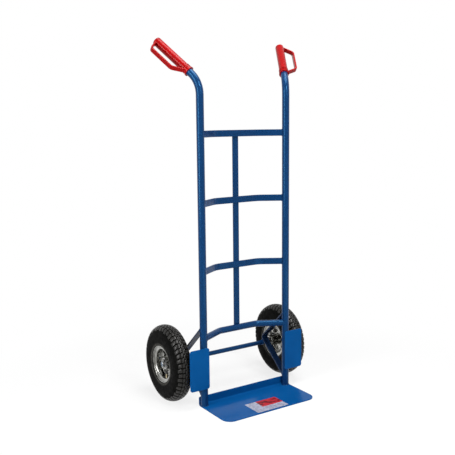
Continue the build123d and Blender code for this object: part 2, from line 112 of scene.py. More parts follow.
class Finish:
    """A procedural material under construction."""

    def __init__(self, name, roughness, metallic=0.0, **uniform):
        self.material = bpy.data.materials.new(name)
        self.material.use_nodes = True
        self.tree = self.material.node_tree
        self.shader = self.tree.nodes["Principled BSDF"]
        self.shader.inputs["Roughness"].default_value = roughness
        self.shader.inputs["Metallic"].default_value = metallic
        for socket, value in uniform.items():
            self.shader.inputs[socket.replace("_", " ").title()].default_value = value
        where = self.node("ShaderNodeTexCoord")
        self.place, self.facing = where.outputs["Object"], where.outputs["Normal"]

    def node(self, kind, **inputs):
        made = self.tree.nodes.new(kind)
        for socket, value in inputs.items():
            self.feed(made.inputs[socket.replace("_", " ")], value)
        return made

    def feed(self, socket, value):
        """Sets a socket, or links another node's output to it."""
        if isinstance(value, bpy.types.NodeSocket):
            self.tree.links.new(value, socket)
        else:
            socket.default_value = value

    def noise(self, scale, detail=3.0, roughness=0.5, place=None):
        made = self.node("ShaderNodeTexNoise", Scale=scale, Detail=detail, Roughness=roughness)
        self.tree.links.new(place or self.place, made.inputs["Vector"])
        return made.outputs["Fac"]

    def remap(self, value, low, high, to_low=0.0, to_high=1.0):
        made = self.node("ShaderNodeMapRange")
        made.clamp = True
        self.feed(made.inputs["Value"], value)
        self.feed(made.inputs["From Min"], low)
        self.feed(made.inputs["From Max"], high)
        self.feed(made.inputs["To Min"], to_low)
        self.feed(made.inputs["To Max"], to_high)
        return made.outputs["Result"]

    def maths(self, operation, first, second=0.0):
        made = self.node("ShaderNodeMath")
        made.operation = operation
        self.feed(made.inputs[0], first)
        self.feed(made.inputs[1], second)
        return made.outputs[0]

    def mix(self, factor, first, second):
        made = self.node("ShaderNodeMix")
        made.data_type = "RGBA"
        colours = [socket for socket in made.inputs if socket.type == "RGBA"]
        self.feed(made.inputs["Factor"], factor)
        for socket, colour in zip(colours, (first, second)):
            linked = isinstance(colour, bpy.types.NodeSocket)
            self.feed(socket, colour if linked else (*colour, 1.0))
        return [socket for socket in made.outputs if socket.type == "RGBA"][0]

    def edge_mask(self, reach):
        """One on sharp edges and nought away from them."""
        rounded = self.node("ShaderNodeBevel", Radius=reach)
        rounded.samples = 4
        plain = self.node("ShaderNodeNewGeometry")
        dot = self.node("ShaderNodeVectorMath")
        dot.operation = "DOT_PRODUCT"
        self.tree.links.new(rounded.outputs["Normal"], dot.inputs[0])
        self.tree.links.new(plain.outputs["Normal"], dot.inputs[1])
        return self.remap(dot.outputs["Value"], 0.985, 0.8)

    def distance_from_axle(self):
        """Distance of each point from the axle's centre line."""
        split = self.node("ShaderNodeSeparateXYZ", Vector=self.place)
        axle = axle_points["left_wheel"]
        y = self.maths("SUBTRACT", split.outputs["Y"], axle.y)
        z = self.maths("SUBTRACT", split.outputs["Z"], axle.z)
        square = self.maths("ADD", self.maths("MULTIPLY", y, y), self.maths("MULTIPLY", z, z))
        return self.maths("SQRT", square)

    def colour(self, value):
        self.feed(self.shader.inputs["Base Color"], value)

    def roughness(self, value):
        self.feed(self.shader.inputs["Roughness"], value)

    def bump(self, height, strength, distance):
        made = self.node("ShaderNodeBump", Strength=strength, Distance=distance)
        self.feed(made.inputs["Height"], height)
        self.tree.links.new(made.outputs["Normal"], self.shader.inputs["Normal"])
        return made


def blue_paint(name, deep, light, gloss, bare_beyond=None, side_painted_light=None):
    """Glossy blue powder coat: orange peel, faint clouding, thin pale edges and dust.

    Deep and light are the two shades that it clouds between. Where bare_beyond is
    given, what lies further from the middle plane is bare steel. Where the last argument
    is given, it is a painted light: a paler shade laid on the faces that face sideways,
    along X, standing in for the light that strikes them.
    """
    paint = Finish(name, 0.2)
    paint.shader.inputs["Specular IOR Level"].default_value = gloss
    paint.shader.inputs["Specular Tint"].default_value = (0.14, 0.54, 1.0, 1.0)
    cloud = paint.remap(paint.noise(7.0, 4.0), 0.35, 0.65)
    base = paint.mix(cloud, deep, light)
    edge = paint.edge_mask(0.9 * mm)
    broken = paint.maths("MULTIPLY", edge, paint.remap(paint.noise(140.0), 0.3, 0.7, 0.15, 0.6))
    edged = paint.mix(broken, base, tuple(0.004 + 1.4 * c for c in light))
    speck = paint.remap(paint.noise(620.0, 1.0), 0.70, 0.76, 0.0, 0.3)
    colour = paint.mix(speck, edged, tuple(0.006 + 1.1 * c for c in light))
    rough = paint.remap(paint.noise(28.0, 4.0), 0.3, 0.7, 0.13, 0.24)
    if side_painted_light is not None:
        # painted light: faces that face sideways, along X, take the paler side shade
        facing = paint.node("ShaderNodeSeparateXYZ", Vector=paint.facing)
        sideways = paint.remap(paint.maths("ABSOLUTE", facing.outputs["X"]), 0.7, 0.95)
        colour = paint.mix(sideways, colour, side_painted_light)
    if bare_beyond is not None:
        split = paint.node("ShaderNodeSeparateXYZ", Vector=paint.place)
        away = paint.maths("ABSOLUTE", split.outputs["X"])
        bare = paint.remap(away, bare_beyond, bare_beyond + 0.5 * mm)
        turned = paint.remap(paint.noise(260.0, 4.0), 0.3, 0.7)
        steel = paint.mix(turned, (0.20, 0.20, 0.20), (0.34, 0.33, 0.32))
        colour = paint.mix(bare, colour, steel)
        rough = paint.maths("ADD", rough, paint.maths("MULTIPLY", bare, 0.12))
        paint.feed(paint.shader.inputs["Metallic"], bare)
    paint.colour(colour)
    paint.roughness(rough)
    paint.bump(paint.noise(330.0, 2.0), 0.12, 0.2 * mm)
    return paint.material


def red_plastic():
    """Glossy moulded plastic, a little cloudy, with flow marks and fine scuffs."""
    plastic = Finish("red_moulded_plastic", 0.2)
    plastic.shader.inputs["Specular IOR Level"].default_value = 0.16
    plastic.shader.inputs["Specular Tint"].default_value = (1.0, 0.5, 0.48, 1.0)
    flow = plastic.remap(plastic.noise(18.0, 5.0), 0.3, 0.7)
    base = plastic.mix(flow, (0.26, 0.0013, 0.002), (0.34, 0.0018, 0.003))
    edge = plastic.edge_mask(0.8 * mm)
    scuffed = plastic.mix(plastic.maths("MULTIPLY", edge, 0.35), base, (0.40, 0.009, 0.009))
    low = plastic.remap(plastic.noise(240.0, 3.0), 0.62, 0.75, 0.0, 0.4)
    plastic.colour(plastic.mix(low, scuffed, (0.20, 0.003, 0.005)))
    plastic.roughness(plastic.remap(plastic.noise(60.0, 4.0), 0.3, 0.7, 0.07, 0.13))
    plastic.bump(plastic.noise(420.0, 2.0), 0.06, 0.12 * mm)
    return plastic.material


def tyre_rubber(name, gloss, rough, deep, light):
    """Black rubber with a fine mould texture, clouding between two shades, and a little dust.

    A patchy pale ring round the bead, where it meets the rim, is dust and painted highlight.
    """
    rubber = Finish(name, rough)
    rubber.shader.inputs["Specular IOR Level"].default_value = gloss
    base = rubber.mix(rubber.remap(rubber.noise(24.0, 5.0), 0.3, 0.7), deep, light)
    dust = rubber.remap(rubber.noise(180.0, 4.0), 0.58, 0.8, 0.0, 0.3)
    dust_and_bead_highlight = rubber.mix(dust, base, tuple(0.004 + 2.0 * c for c in light))
    # painted highlight and dust: a patchy paler ring just outside the rim's flange, where the bead sits
    radius = rubber.distance_from_axle()
    ring = rubber.maths(
        "MULTIPLY",
        rubber.remap(radius, flange_radius + 1.0 * mm, flange_radius + 3.0 * mm),
        rubber.remap(radius, flange_radius + 11.0 * mm, flange_radius + 6.0 * mm),
    )
    patchy = rubber.remap(rubber.noise(40.0, 4.0), 0.3, 0.6, 0.35, 0.9)
    ring = rubber.maths("MULTIPLY", ring, patchy)
    dust_and_bead_highlight = rubber.mix(ring, dust_and_bead_highlight, (0.055, 0.053, 0.048))
    # painted highlight and wear: the edges of the blocks and ribs turn paler in broken patches
    edge = rubber.edge_mask(0.6 * mm)
    worn = rubber.maths("MULTIPLY", edge, rubber.remap(rubber.noise(60.0), 0.4, 0.65, 0.0, 0.5))
    rubber.colour(rubber.mix(worn, dust_and_bead_highlight, tuple(0.02 + 1.5 * c for c in light)))
    rubber.roughness(rubber.remap(rubber.noise(75.0, 4.0), 0.3, 0.7, rough * 0.75, rough * 1.25))
    rubber.bump(rubber.noise(900.0, 3.0), 0.22, 0.15 * mm)
    return rubber.material


def tube_rubber():
    """Butyl rubber with talc on it."""
    rubber = Finish("inner_tube_butyl", 0.7)
    talc = rubber.remap(rubber.noise(90.0, 6.0), 0.45, 0.75, 0.0, 0.6)
    rubber.colour(rubber.mix(talc, (0.02, 0.02, 0.022), (0.12, 0.12, 0.12)))
    rubber.bump(rubber.noise(500.0, 3.0), 0.2, 0.1 * mm)
    return rubber.material


def zinc(name, base, spangle_scale, roughness, grime=0.5):
    """Bright zinc plating: soft spangle, grey stains, grime in patches, painted shade in recesses."""
    plate = Finish(name, roughness, metallic=1.0)
    cells = plate.node("ShaderNodeTexVoronoi", Scale=spangle_scale)
    plate.tree.links.new(plate.place, cells.inputs["Vector"])
    spangle = plate.remap(cells.outputs["Distance"], 0.0, 0.9)
    pale = tuple(min(1.0, c * 1.15) for c in base)
    clean = plate.mix(spangle, base, pale)
    stain = plate.remap(plate.noise(32.0, 5.0), 0.42, 0.68, 0.0, grime)
    stained = plate.mix(stain, clean, tuple(c * f for c, f in zip(base, (0.36, 0.35, 0.32))))
    # painted shade: near black wherever ambient occlusion finds other surfaces close by, in the recesses of rims
    # and fasteners
    painted_shade_occlusion = plate.node("ShaderNodeAmbientOcclusion", Distance=22 * mm)
    painted_shade_occlusion.samples = 6
    corner = plate.remap(painted_shade_occlusion.outputs["AO"], 0.75, 0.3)
    plate.colour(plate.mix(corner, stained, (0.035, 0.033, 0.028)))
    plate.roughness(plate.remap(plate.noise(70.0, 3.0), 0.3, 0.7, roughness * 0.7, roughness * 1.3))
    plate.bump(plate.noise(90.0, 2.0), 0.10, 0.25 * mm)
    return plate.material


def bearing_steel():
    """Ground steel races, with black rubber seals between them."""
    steel = Finish("bearing_races_and_seals", 0.3, metallic=1.0)
    radius = steel.distance_from_axle()
    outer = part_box("left_outer_bearing")
    rim = (outer[1].z - outer[0].z) / 2
    race = 3.0 * mm
    bore = (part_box("axle")[1].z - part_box("axle")[0].z) / 2
    seal = steel.maths(
        "MULTIPLY",
        steel.maths("GREATER_THAN", radius, bore + race),
        steel.maths("LESS_THAN", radius, rim - race),
    )
    rings = steel.node("ShaderNodeTexWave", Scale=1200.0)
    steel.tree.links.new(radius, rings.inputs["Vector"])
    metal = steel.mix(rings.outputs["Fac"], (0.46, 0.46, 0.47), (0.56, 0.56, 0.57))
    steel.colour(steel.mix(seal, metal, (0.015, 0.015, 0.016)))
    steel.feed(steel.shader.inputs["Metallic"], steel.maths("SUBTRACT", 1.0, seal))
    steel.roughness(steel.remap(seal, 0.0, 1.0, 0.28, 0.55))
    steel.bump(steel.noise(700.0, 2.0), 0.08, 0.1 * mm)
    return steel.material


def valve_brass():
    """Nickelled brass stem."""
    brass = Finish("valve_brass_plated", 0.3, metallic=1.0)
    tarnish = brass.remap(brass.noise(300.0, 4.0), 0.4, 0.7)
    brass.colour(brass.mix(tarnish, (0.62, 0.55, 0.38), (0.42, 0.36, 0.24)))
    brass.roughness(brass.remap(brass.noise(500.0), 0.3, 0.7, 0.22, 0.4))
    return brass.material


def black_cap():
    """Black moulded cap with a fine grain."""
    cap = Finish("black_cap_plastic", 0.5)
    grain = cap.remap(cap.noise(400.0), 0.3, 0.7)
    cap.colour(cap.mix(grain, (0.012, 0.012, 0.012), (0.03, 0.03, 0.03)))
    cap.bump(cap.noise(1500.0), 0.2, 0.1 * mm)
    return cap.material


# One blue powder coat in lit and shaded copies: sheet shades are painted light on the toe plate and guards; tube
# shades are painted shade on the tubes, bars, axle and welds; bracket shades are deeper painted shade on the
# brackets behind the guards
tube_shades = (0.0030, 0.025, 0.090), (0.0042, 0.029, 0.102)
sheet_shades = (0.0018, 0.066, 0.230), (0.0026, 0.076, 0.258)
bracket_shades = (0.006, 0.018, 0.052), (0.009, 0.022, 0.064)
# painted light for the brackets' faces that face sideways
bracket_side_painted_light = (0.045, 0.055, 0.095)
carcass_shades = (0.0012, 0.0012, 0.0011), (0.0028, 0.0027, 0.0025)
lug_shades = (0.0040, 0.0036, 0.0031), (0.009, 0.008, 0.0068)
tube_gloss, sheet_gloss, bracket_gloss = 0.36, 0.06, 0.12
carcass_gloss, lug_gloss = 0.03, 0.3
carcass_roughness, lug_roughness = 0.6, 0.34
finishes = {
    "frame_paint": blue_paint("tube_coat_painted_shade", *tube_shades, tube_gloss),
    "grip_red": red_plastic(),
    "tyre_rubber": tyre_rubber(
        "carcass_rubber", carcass_gloss, carcass_roughness, *carcass_shades
    ),
    "tube_rubber": tube_rubber(),
    "rim_zinc": zinc("rim_bright_zinc", (0.37, 0.37, 0.355), 90.0, 0.14, 0.7),
    "zinc_steel": zinc("fastener_zinc", (0.46, 0.46, 0.44), 240.0, 0.28),
    "bearing_steel": bearing_steel(),
    "valve_brass": valve_brass(),
    "cap_black": black_cap(),
}
for part in frame["record"]["subparts"]:
    carried = nodes[part["node"]].data
    carried.materials.clear()
    carried.materials.append(finishes[part["material_slot"]])
spacer_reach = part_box("right_axle_spacer")[0].x
nodes["axle"].data.materials[0] = blue_paint(
    "axle_paint_and_bare_ends", *tube_shades, tube_gloss, bare_beyond=spacer_reach
)
sheet_paint = blue_paint("sheet_coat_painted_light", *sheet_shades, sheet_gloss)
bracket_paint = blue_paint(
    "bracket_coat_painted_shade", *bracket_shades, bracket_gloss, side_painted_light=bracket_side_painted_light
)
nodes["toe_plate"].data.materials[0] = sheet_paint
for side, side_name in sides:
    nodes[f"{side_name}_wheel_guard"].data.materials[0] = sheet_paint
    nodes[f"{side_name}_axle_bracket"].data.materials[0] = bracket_paint
tread_rubber = tyre_rubber("tread_block_rubber", lug_gloss, lug_roughness, *lug_shades)

# ---- Weld beads -----------------------------------------------------------------------


def surface_of(node):
    """The node's surface, to measure distances to."""
    mesh = nodes[node].data
    return BVHTree.FromPolygons([v.co for v in mesh.vertices], [p.vertices for p in mesh.polygons])


def contact_loops(node, other, reach=0.12 * mm):
    """Closed or open lines round the faces of node that lie on the other node."""
    surface = surface_of(other)
    work = bmesh.new()
    work.from_mesh(nodes[node].data)
    bmesh.ops.remove_doubles(work, verts=work.verts, dist=0.01 * mm)
    touching = {v for v in work.verts if surface.find_nearest(v.co, 1 * mm)[3] is not None
                and surface.find_nearest(v.co, 1 * mm)[3] < reach}
    seated = {f for f in work.faces if all(v in touching for v in f.verts)}
    border = [e for e in work.edges if sum(f in seated for f in e.link_faces) == 1]
    lines = []
    left = dict.fromkeys(border)  # in the mesh's own order, so that each run is the same
    while left:
        edge = next(iter(left))
        del left[edge]
        line = [edge.verts[0], edge.verts[1]]
        grown = True
        while grown:
            grown = False
            for candidate in line[-1].link_edges:
                if candidate in left:
                    del left[candidate]
                    line.append(candidate.other_vert(line[-1]))
                    grown = True
                    break
        lines.append([v.co.copy() for v in line])
    work.free()
    return lines


def resample(points, step):
    """The same line with evenly spaced points."""
    lengths = [0.0]
    for a, b in zip(points, points[1:]):
        lengths.append(lengths[-1] + (b - a).length)
    count = max(2, round(lengths[-1] / step))
    line = []
    segment = 0
    for i in range(count + 1):
        target = lengths[-1] * i / count
        while segment < len(lengths) - 2 and lengths[segment + 1] < target:
            segment += 1
        span = lengths[segment + 1] - lengths[segment]
        share = (target - lengths[segment]) / span if span else 0.0
        line.append(points[segment].lerp(points[segment + 1], share))
    return line


def add_bead(shell, points, radius, ripple=2.2 * mm, around=8):
    """A rippled weld bead along a line, like a row of overlapping coins."""
    step = 0.55 * mm
    line = resample(points, step)
    closed = (line[0] - line[-1]).length < 0.5 * mm
    if closed:
        line = line[:-1]
    count = len(line)
    rings = []
    for i, point in enumerate(line):
        before = line[i - 1] if closed or i else line[i]
        after = line[(i + 1) % count] if closed or i < count - 1 else line[i]
        along = (after - before).normalized()
        side = side - along * side.dot(along) if rings else along.orthogonal()
        side = side.normalized()
        other = along.cross(side)
        phase = (i * step / ripple) % 1.0
        swell = 0.82 + 0.18 * sqrt(max(0.0, 1 - (2 * phase - 1) ** 2))
        drift = 0.06 * sin(i * 0.37) + 0.04 * sin(i * 0.91)
        taper = 1.0
        if not closed:
            taper = min(1.0, 0.45 + min(i, count - 1 - i) * step / (1.6 * radius))
        size = radius * (swell + drift) * taper
        rings.append(shell.ring([
            point + (side * cos(tau * k / around) + other * sin(tau * k / around)) * size
            for k in range(around)
        ]))
    for first, second in zip(rings, rings[1:]):
        shell.bridge(first, second)
    if closed:
        shell.bridge(rings[-1], rings[0])
    else:
        shell.faces.append(tuple(rings[0]))
        shell.faces.append(tuple(reversed(rings[-1])))


def weld_pieces(name, pairs, radius):
    """One piece holding the beads of several welded pairs of nodes."""
    shell = Shell()
    for node, other in pairs:
        for line in contact_loops(node, other):
            if len(line) > 2:
                add_bead(shell, line, radius)
    if shell.points:
        make_piece(name, shell.points, shell.faces, "frame", finishes["frame_paint"])


def bead_piece(name, lines, radius):
    """One piece holding a bead along each of the given lines."""
    shell = Shell()
    for line in lines:
        add_bead(shell, line, radius)
    make_piece(name, shell.points, shell.faces, "frame", finishes["frame_paint"])


def stitches(start, end, count, length):
    """Short straight lines, evenly spaced between two points."""
    run = end - start
    step = run.normalized() * length
    places = [start + (run - step) * (i / (count - 1) if count > 1 else 0.5) for i in range(count)]
    return [[place, place + step] for place in places]


def arc(centre, radius, first, last, across, up):
    """Points on an arc about centre, in the plane of two directions."""
    steps = 28
    return [
        centre + (across * cos(a) + up * sin(a)) * radius
        for a in (first + (last - first) * i / steps for i in range(steps + 1))
    ]


uprights = ("left_upright_tube", "right_upright_tube")
bars = ("top_cross_bar", "upper_cross_bar", "middle_cross_bar")

# Radii of the weld beads.
guard_bead, strap_bead, bar_bead = 1.4 * mm, 1.5 * mm, 1.6 * mm
tube_bead, axle_bead, bracket_bead = 1.8 * mm, 1.9 * mm, 2.0 * mm

weld_pieces("cross_bar_welds", [(bar, upright) for bar in bars for upright in uprights], bar_bead)
weld_pieces("lower_tube_welds", [("lower_cross_tube", upright) for upright in uprights], tube_bead)
weld_pieces(
    "bracket_welds",
    [(f"{side_name}_axle_bracket", f"{side_name}_upright_tube") for side, side_name in sides],
    bracket_bead,
)

x_way, y_way, z_way = Vector((1, 0, 0)), Vector((0, 1, 0)), Vector((0, 0, 1))
strap_low, strap_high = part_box("centre_strap")
plate_low, plate_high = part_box("toe_plate")
sheet_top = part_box("left_upright_tube")[0].z
flange_front = -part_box("left_upright_tube")[0].y
strap_lines, guard_lines, foot_lines, axle_lines = [], [], [], []
for bar in bars:
    bar_low, bar_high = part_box(bar)
    for side, side_name in sides:
        x = side * (strap_high.x + 0.3 * mm)
        strap_lines.append([
            Vector((x, strap_low.y + 0.4 * mm, bar_low.z + 2 * mm)),
            Vector((x, strap_low.y + 0.4 * mm, bar_high.z - 3 * mm)),
        ])
bead_piece("strap_welds", strap_lines, strap_bead)

stitch_length = 24 * mm
guard_seam, foot_seam = 5.5 * mm, 4.5 * mm  # how far a pair of beads lies from the tube's middle
for side, side_name in sides:
    guard_low, guard_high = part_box(f"{side_name}_wheel_guard")
    tube_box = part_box(f"{side_name}_upright_tube")
    tube_x = side * (abs(tube_box[1 if side < 0 else 0].x) + flange_front)
    back = guard_high.y
    for offset in (-guard_seam, guard_seam):
        line_start = Vector((tube_x + offset, back + 0.7 * mm, guard_low.z + 8 * mm))
        line_end = Vector((tube_x + offset, back + 0.7 * mm, guard_high.z - 8 * mm))
        guard_lines += stitches(line_start, line_end, 3, stitch_length)
    for z in (guard_low.z, guard_high.z):
        guard_lines.append([
            Vector((tube_x - 6 * mm, back + 0.2 * mm, z)),
            Vector((tube_x, back - 0.6 * mm, z)),
            Vector((tube_x + 6 * mm, back + 0.2 * mm, z)),
        ])
    foot = Vector((tube_x, 0, sheet_top + 0.3 * mm))
    foot_lines.append(arc(foot, flange_front + 0.3 * mm, radians(115), radians(425), x_way, y_way))
    for offset in (-foot_seam, foot_seam):
        foot_lines.append([
            Vector((tube_x + offset, flange_front - 0.5 * mm, sheet_top + 4 * mm)),
            Vector((tube_x + offset, flange_front - 0.5 * mm, plate_high.z - 3 * mm)),
        ])
    axle_low, axle_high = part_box("axle")
    bracket_inner = side * min(abs(corner.x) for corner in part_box(f"{side_name}_axle_bracket"))
    hub = Vector((bracket_inner - side * 0.4 * mm, *axle_points[f"{side_name}_wheel"].yz))
    round_axle = (axle_high.z - axle_low.z) / 2 + 0.3 * mm
    axle_lines.append(arc(hub, round_axle, radians(60), radians(300), y_way, z_way))
bead_piece("guard_welds", guard_lines, guard_bead)
bead_piece("foot_welds", foot_lines, tube_bead)
bead_piece("axle_welds", axle_lines, axle_bead)

# ---- Tyres ----------------------------------------------------------------------------

bead_half = 22.0 * mm
bead_toe = 12.0 * mm
foot_half = 29.0 * mm
foot_radius = 66.0 * mm
widest_radius = (seat_radius + tyre_radius) / 2
tread_depth = 3.8 * mm
lug_count = 48
lug_gap = 5.0 * mm
lug_skew = 3.2 * mm
shoulder_row_start = 17.2 * mm
shoulder_row_reach = (8 * mm, 11 * mm)  # past the crown's edge, on every other lug
middle_row = (7.6 * mm, 15.4 * mm)
centre_row = (5.4 * mm, 0.4 * mm)
crease_angle = radians(38)
crown_curve = (crown_half**2 + crown_drop**2) / (2 * crown_drop)
crown_edge = crown_curve * asin(crown_half / crown_curve)
flank_rise = tyre_radius - crown_drop - widest_radius
flank_run = tyre_half - crown_half
flank_curve = (flank_run**2 + flank_rise**2) / (2 * flank_run)
flank_start = atan2(flank_rise, crown_half - tyre_half + flank_curve)
flank_length = flank_curve * flank_start


def flank_profile(across, lift=0.0):
    """(sideways, radius) on the tyre's outside, a distance across from the tread's middle."""
    sign = -1 if across < 0 else 1
    reach = abs(across)
    if reach <= crown_edge:
        angle = reach / crown_curve
        bend = crown_curve + lift
        return sign * bend * sin(angle), tyre_radius - crown_curve + bend * cos(angle)
    angle = flank_start - (reach - crown_edge) / flank_curve
    bend = flank_curve + lift
    return sign * (tyre_half - flank_curve + bend * cos(angle)), widest_radius + bend * sin(angle)


def tread_floor(across):
    """How far the carcass lies below the tops of the lugs."""
    fade = (crown_edge + 12 * mm - abs(across)) / (6 * mm)
    return -tread_depth * max(0.0, min(1.0, fade))


def side_rib(across):
    """Raised rings on the flank: a fine one under the shoulder and a wide one lower down."""
    place = (abs(across) - crown_edge) / flank_length
    fine = max(0.0, 1 - abs(place - 0.42) / 0.02)
    wide = max(0.0, min(1.0, (0.06 - abs(place - 0.62)) / 0.02))
    return 0.5 * mm * fine + 0.35 * mm * wide


def on_wheel(centre, side, sideways, radius, angle):
    """A point of a wheel in the model's frame; sideways runs outboard."""
    return Vector((
        centre.x + side * sideways,
        centre.y - radius * sin(angle),
        centre.z + radius * cos(angle),
    ))


def tyre_outline():
    """Closed section of the carcass, from the bead's toe round the outside and back inside."""
    steps = 64
    limit = crown_edge + flank_length
    outside = []
    for i in range(steps + 1):
        across = limit * (2 * i / steps - 1)
        outside.append(flank_profile(across, tread_floor(across) + side_rib(across)))
    foot = []
    run = foot_half - tyre_half
    curve = (run**2 + (widest_radius - foot_radius) ** 2) / (-2 * run)
    for i in range(1, 8):
        radius = widest_radius + (foot_radius - widest_radius) * i / 7
        dip = curve - sqrt(curve**2 - (widest_radius - radius) ** 2)
        rib = 0.8 * mm * max(0.0, 1 - abs(i - 5) / 1.5)
        foot.append((tyre_half - dip + rib, radius))
    lip = [
        (foot_half + 0.4 * mm, flange_radius + 1.6 * mm),
        (foot_half - 0.4 * mm, flange_radius + 0.6 * mm),
        (bead_half + 1.5 * mm, flange_radius),
        (bead_half, flange_radius - 3 * mm),
        (bead_half, seat_radius + 1 * mm),
        (bead_half - 1 * mm, seat_radius),
        (bead_toe, seat_radius),
        (bead_toe, seat_radius + 9 * mm),
        (bead_half + 3 * mm, seat_radius + 26 * mm),
        (tyre_half - 6 * mm, widest_radius + 4 * mm),
        (tyre_half - 12 * mm, tyre_radius - 20 * mm),
    ]
    right = foot + lip
    left = [(-x, radius) for x, radius in reversed(right)]
    return left + outside + right


def add_lug(shell, centre, side, start, length, first, last, skew):
    """One tread block: a rounded top, drafted walls and a closed foot below the carcass."""
    across_steps, along_steps = 4, 2
    edge = 0.55 * mm

    def point(a, b, inset, lift):
        across = first + (last - first) * b
        across += inset * (1 - 2 * b) * (1 if last > first else -1)
        along = start + length * a + inset * (1 - 2 * a) + skew * b
        sideways, radius = flank_profile(across, lift)
        return on_wheel(centre, side, sideways, radius, along / tyre_radius)

    grid = [
        shell.ring([
            point(i / along_steps, j / across_steps, edge, 0.0) for i in range(along_steps + 1)
        ])
        for j in range(across_steps + 1)
    ]
    for lower, upper in zip(grid, grid[1:]):
        shell.bridge(lower, upper, closed=False)
    border = [(i, 0) for i in range(along_steps)]
    border += [(along_steps, j) for j in range(across_steps)]
    border += [(along_steps - i, across_steps) for i in range(along_steps)]
    border += [(0, across_steps - j) for j in range(across_steps)]
    top = [grid[j][i] for i, j in border]
    rings = [top]
    wall = ((0.16 * mm, -0.14 * mm), (0.0, -0.5 * mm), (-0.35 * mm, -tread_depth - 0.4 * mm))
    for inset, lift in wall:
        rings.append(shell.ring([
            point(i / along_steps, j / across_steps, inset, lift) for i, j in border
        ]))
    for upper, lower in zip(rings, rings[1:]):
        shell.bridge(upper, lower)
    shell.faces.append(tuple(rings[-1]))


def make_tyre(side, side_name):
    """Carcass with ribbed flanks, and three rows of tread blocks on each half of it."""
    body = f"{side_name}_wheel"
    centre = axle_points[body]
    outline = tyre_outline()
    around = 192
    shell = Shell()
    rings = []
    for i in range(around):
        angle = tau * i / around
        section = [on_wheel(centre, side, x, radius, angle) for x, radius in outline]
        rings.append(shell.ring(section))
    for i in range(around):
        shell.bridge(rings[i], rings[(i + 1) % around])
    name, rubber = f"{side_name}_tyre_carcass", finishes["tyre_rubber"]
    piece = make_piece(name, shell.points, shell.faces, body, rubber)
    piece.data.set_sharp_from_angle(angle=crease_angle)
    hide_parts(f"{side_name}_tyre")
    shell = Shell()
    pitch = tau * tyre_radius / lug_count
    for i in range(lug_count):
        shoulder_end = crown_edge + shoulder_row_reach[i % 2]
        for sign, start in ((1, i * pitch), (-1, (i + 0.5) * pitch)):
            rows = (
                (start, lug_gap, shoulder_row_start, shoulder_end, lug_skew),
                (start - lug_skew / 2, 0.8 * lug_gap, *middle_row, lug_skew),
                (start + pitch / 2, 0.6 * lug_gap, *centre_row, -lug_skew),
            )
            for begin, gap, first, last, skew in rows:
                add_lug(shell, centre, side, begin, pitch - gap, sign * first, sign * last, skew)
    name = f"{side_name}_tread_blocks"
    piece = make_piece(name, shell.points, shell.faces, body, tread_rubber)
    piece.data.set_sharp_from_angle(angle=crease_angle)


for side, side_name in sides:
    make_tyre(side, side_name)

# ---- Sticker on the toe plate ----------------------------------------------------------

sticker_left = -58 * mm
sticker_width = 124 * mm
sticker_front = plate_low.y + 4 * mm
sticker_depth = 80 * mm
block_left = sticker_left + 0.34 * sticker_width
block_front = sticker_front + 0.42 * sticker_depth
band_middle = sticker_front + 0.72 * sticker_depth
band_half = 0.16 * sticker_depth
rule_pitch = 8.5 * mm
rule_share = 0.34  # of the pitch


def sticker_vinyl():
    """Blank sticker: pale, with plain grey rules and a red block, rubbed in patches."""
    vinyl = Finish("blank_sticker", 0.4)
    vinyl.shader.inputs["Specular IOR Level"].default_value = 0.3
    split = vinyl.node("ShaderNodeSeparateXYZ", Vector=vinyl.place)
    x, y = split.outputs["X"], split.outputs["Y"]
    block = vinyl.maths(
        "MULTIPLY",
        vinyl.maths("GREATER_THAN", x, block_left),
        vinyl.maths("GREATER_THAN", y, block_front),
    )
    rub = vinyl.remap(vinyl.noise(60.0, 5.0), 0.35, 0.7, 0.0, 0.5)
    white = vinyl.mix(rub, (0.37, 0.39, 0.49), (0.28, 0.30, 0.40))
    red = vinyl.mix(rub, (0.42, 0.014, 0.024), (0.32, 0.02, 0.03))
    row = vinyl.maths("FRACT", vinyl.maths("DIVIDE", y, rule_pitch))
    worn = vinyl.remap(vinyl.noise(110.0, 2.0), 0.42, 0.5)
    rule = vinyl.maths("MULTIPLY", vinyl.maths("LESS_THAN", row, rule_share), worn)
    band = vinyl.maths("ABSOLUTE", vinyl.maths("SUBTRACT", y, band_middle))
    blotch = vinyl.remap(vinyl.noise(48.0, 1.0), 0.44, 0.5)
    inset = vinyl.maths("MULTIPLY", vinyl.maths("LESS_THAN", band, band_half), blotch)
    lined = vinyl.mix(rule, white, (0.13, 0.12, 0.19))
    patched = vinyl.mix(inset, red, (0.10, 0.003, 0.008))
    vinyl.colour(vinyl.mix(block, lined, patched))
    vinyl.roughness(vinyl.remap(vinyl.noise(200.0), 0.3, 0.7, 0.32, 0.5))
    vinyl.bump(vinyl.noise(70.0, 2.0), 0.15, 0.3 * mm)
    return vinyl.material


def make_sticker():
    """A thin sheet with rounded corners that lies on the plate."""
    corner, steps, lift = 3 * mm, 5, 0.15 * mm
    outline = []
    for i, (cx, cy) in enumerate(((1, 1), (0, 1), (0, 0), (1, 0))):
        middle_x = sticker_left + (sticker_width - corner if cx else corner)
        middle_y = sticker_front + (sticker_depth - corner if cy else corner)
        for k in range(steps + 1):
            angle = pi / 2 * (i + k / steps)
            outline.append((middle_x + corner * cos(angle), middle_y + corner * sin(angle)))
    shell = Shell()
    low = shell.ring([(x, y, sheet_top - lift) for x, y in outline])
    high = shell.ring([(x, y, sheet_top + lift) for x, y in outline])
    shell.bridge(low, high)
    shell.faces += [tuple(high), tuple(reversed(low))]
    vinyl = sticker_vinyl()
    make_piece(
        "blank_sticker", shell.points, shell.faces, "frame", vinyl, smooth=False
    )


make_sticker()

# ---- Stage, camera and light ----------------------------------------------------------

